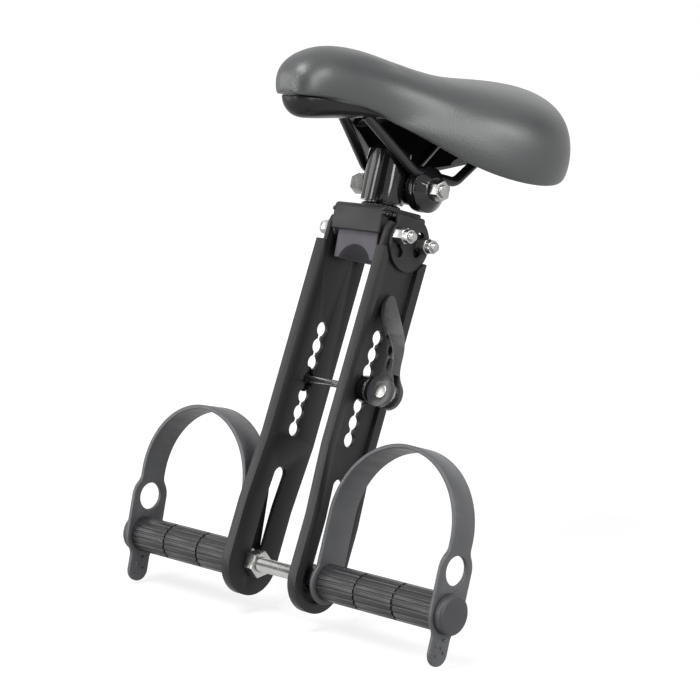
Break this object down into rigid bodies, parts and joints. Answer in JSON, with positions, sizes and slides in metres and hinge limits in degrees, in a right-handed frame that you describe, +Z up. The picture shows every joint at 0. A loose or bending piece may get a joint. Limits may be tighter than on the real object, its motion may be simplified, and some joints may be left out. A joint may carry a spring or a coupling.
{
  "type": "child bike seat",
  "caption": "Child bike seat that clamps over a top tube: padded saddle on a short post, forked legs, foot pegs with rubber straps and a quick-release lever.",
  "frame": {"origin": "on the axis of the bicycle's top tube, in the middle of the rubber cradle that sits on it", "axes": "+Z up, -Y forward (the saddle's nose), +X to the rider's left, the side of the quick-release lever"},
  "size_m": [0.3096, 0.2732, 0.3855],
  "materials": {
    "saddle_vinyl": "smooth black vinyl with a soft sheen and fine grain",
    "base_plastic": "glossy black moulded plastic",
    "rail_black": "black painted steel wire",
    "gloss_black_metal": "gloss black paint",
    "satin_black_metal": "satin black powder coat",
    "zinc": "bright zinc-plated steel",
    "cradle_rubber": "matt grey rubber",
    "lever_black": "satin black anodised aluminium",
    "peg_rubber": "matt charcoal rubber",
    "strap_rubber": "smooth charcoal rubber"
  },
  "bodies": {
    "head": {"tube_cradle": "cradle_rubber", "yoke_bracket": "satin_black_metal", "cover_plate": "satin_black_metal", "seat_post": "gloss_black_metal", "post_weld": "satin_black_metal", "clamp_band": "gloss_black_metal"},
    "rail_clamp": {"rail_disc_left": "gloss_black_metal", "rail_disc_right": "gloss_black_metal", "rail_cup_left": "gloss_black_metal", "rail_cup_right": "gloss_black_metal", "clamp_bolt": "zinc", "clamp_nut": "zinc"},
    "saddle": {"saddle_cover": "saddle_vinyl", "saddle_base": "base_plastic", "saddle_rail_left": "rail_black", "saddle_rail_right": "rail_black"},
    "legs": {"leg_left": "satin_black_metal", "leg_right": "satin_black_metal", "tilt_bolts_left": "zinc", "tilt_bolts_right": "zinc", "tilt_nuts_left": "zinc", "tilt_nuts_right": "zinc", "skewer": "zinc", "barrel_pin": "zinc", "cam_washer": "gloss_black_metal"},
    "lever": {"quick_release_lever": "lever_black"},
    "adjuster": {"adjusting_nut": "lever_black"},
    "foot_rest": {"foot_axle": "zinc", "axle_nut_left": "zinc", "axle_nut_right": "zinc", "jam_nut_left": "zinc", "jam_nut_right": "zinc", "foot_peg_left": "peg_rubber", "foot_peg_right": "peg_rubber", "foot_strap_left": "strap_rubber", "foot_strap_right": "strap_rubber", "peg_cap_left": "strap_rubber", "peg_cap_right": "strap_rubber"}
  },
  "joints": [
    {"name": "leg_tilt", "type": "hinge", "parent": "head", "child": "legs", "pos_m": [0, 0.00613, 0.02372], "axis": [1, 0, 0], "range_deg": [-8, 26]},
    {"name": "foot_height", "type": "slide", "parent": "legs", "child": "foot_rest", "axis": [0, 0.3827, 0.9239], "range_m": [0, 0.028]},
    {"name": "lever_turn", "type": "hinge", "parent": "legs", "child": "lever", "pos_m": [0.0492, -0.03443, -0.07421], "axis": [0, 0.9239, -0.3827], "range_deg": [0, 90]},
    {"name": "adjuster_turn", "type": "hinge", "parent": "legs", "child": "adjuster", "pos_m": [0, -0.03443, -0.07421], "axis": [1, 0, 0], "continuous": true},
    {"name": "saddle_tilt", "type": "hinge", "parent": "head", "child": "rail_clamp", "pos_m": [0, 0.03356, 0.05588], "axis": [1, 0, 0], "range_deg": [-10, 10]},
    {"name": "saddle_slide", "type": "slide", "parent": "rail_clamp", "child": "saddle", "axis": [0, 0.9681, -0.2504], "range_m": [-0.007, 0.001]}
  ]
}
